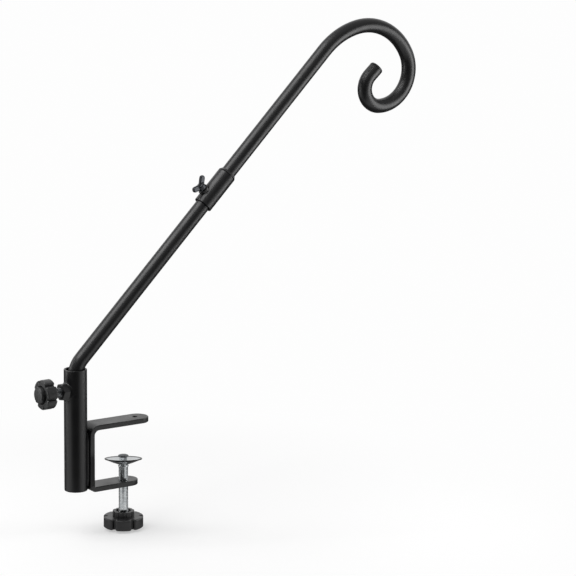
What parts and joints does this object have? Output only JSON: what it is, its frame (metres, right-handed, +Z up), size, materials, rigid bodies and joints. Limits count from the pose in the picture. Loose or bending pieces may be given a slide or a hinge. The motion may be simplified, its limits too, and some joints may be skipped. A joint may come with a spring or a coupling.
{
  "type": "railing_plant_hook",
  "caption": "Railing plant hook in black powder-coated steel: a bar clamp with screw and swivel pad, a welded post tube, and a leaning two-length pole with a curled end",
  "frame": {"origin": "middle of the upper arm's underside on the clamp screw's axis, the face that rests on the rail", "axes": "+Z up along the post tube, +X out from the post along the clamp's arms, the way the pole leans; the pole and its curl lie in the XZ plane"},
  "size_m": [0.3778, 0.0332, 0.416],
  "materials": {
    "black_coat": "satin powder coat on steel",
    "black_plastic": "fine textured",
    "zinc_plate": "bright zinc plate",
    "dark_zinc": "dark zinc plate"
  },
  "bodies": {
    "clamp_frame": {"clamp_bracket": "black_coat", "post_tube": "black_coat", "bracket_weld_near": "black_coat", "bracket_weld_far": "black_coat", "side_nut": "black_coat", "side_nut_weld": "black_coat"},
    "foot_plug": {"pole_foot_plug": "black_plastic"},
    "pole": {"lower_pole": "black_coat"},
    "weld_ring": {"sleeve_weld": "black_coat"},
    "hook": {"joint_sleeve": "black_coat", "wing_screw_boss": "black_coat", "hook_pole": "black_coat", "hook_end_plug": "black_plastic"},
    "wing_stud": {"wing_screw": "zinc_plate"},
    "wing_grip": {"wing_head": "dark_zinc"},
    "side_stud": {"side_screw": "zinc_plate"},
    "side_grip": {"side_knob": "black_plastic", "side_knob_cap": "black_plastic"},
    "washer": {"pad_washer": "zinc_plate"},
    "clamp_spindle": {"clamp_screw": "zinc_plate", "clamp_knob": "black_plastic", "clamp_knob_cap": "black_plastic"},
    "pad": {"pad_dish": "zinc_plate"}
  },
  "joints": [
    {"name": "pole_lift", "type": "slide", "parent": "clamp_frame", "child": "foot_plug", "axis": [0, 0, 1], "range_m": [0, 0.1]},
    {"name": "pole_swivel", "type": "hinge", "parent": "foot_plug", "child": "pole", "pos_m": [-0.0457, 0, -0.0386], "axis": [0, 0, 1], "continuous": true},
    {"name": "hook_slide", "type": "slide", "parent": "pole", "child": "weld_ring", "axis": [0.7071, 0, 0.7071], "range_m": [0, 0.03]},
    {"name": "hook_swivel", "type": "hinge", "parent": "weld_ring", "child": "hook", "pos_m": [0.0849, 0, 0.1848], "axis": [0.7071, 0, 0.7071], "continuous": true},
    {"name": "wing_feed", "type": "slide", "parent": "hook", "child": "wing_stud", "axis": [-0.7071, 0, 0.7071], "range_m": [0, 0.0024]},
    {"name": "wing_turn", "type": "hinge", "parent": "wing_stud", "child": "wing_grip", "pos_m": [0.0849, 0, 0.1848], "axis": [-0.7071, 0, 0.7071], "range_deg": [0, 1080.5]},
    {"name": "side_feed", "type": "slide", "parent": "clamp_frame", "child": "side_stud", "axis": [-1, 0, 0], "range_m": [0, 0.006]},
    {"name": "side_turn", "type": "hinge", "parent": "side_stud", "child": "side_grip", "pos_m": [-0.0457, 0, 0.0344], "axis": [-1, 0, 0], "range_deg": [0, 1728.5]},
    {"name": "clamp_feed", "type": "slide", "parent": "clamp_frame", "child": "washer", "axis": [0, 0, 1], "range_m": [-0.0108, 0.0223]},
    {"name": "clamp_turn", "type": "hinge", "parent": "washer", "child": "clamp_spindle", "pos_m": [0, 0, -0.03445], "axis": [0, 0, 1], "range_deg": [-3111, 6423]},
    {"name": "pad_tilt", "type": "hinge", "parent": "washer", "child": "pad", "pos_m": [0, 0, -0.03445], "axis": [-0.8616, 0.5075, 0], "range_deg": [-16, 0]}
  ],
  "couplings": [
    {"joint": "wing_turn", "follows": "wing_feed", "rad_per_m": 7854},
    {"joint": "side_turn", "follows": "side_feed", "rad_per_m": 5026.6},
    {"joint": "clamp_turn", "follows": "clamp_feed", "rad_per_m": 5026.6}
  ]
}
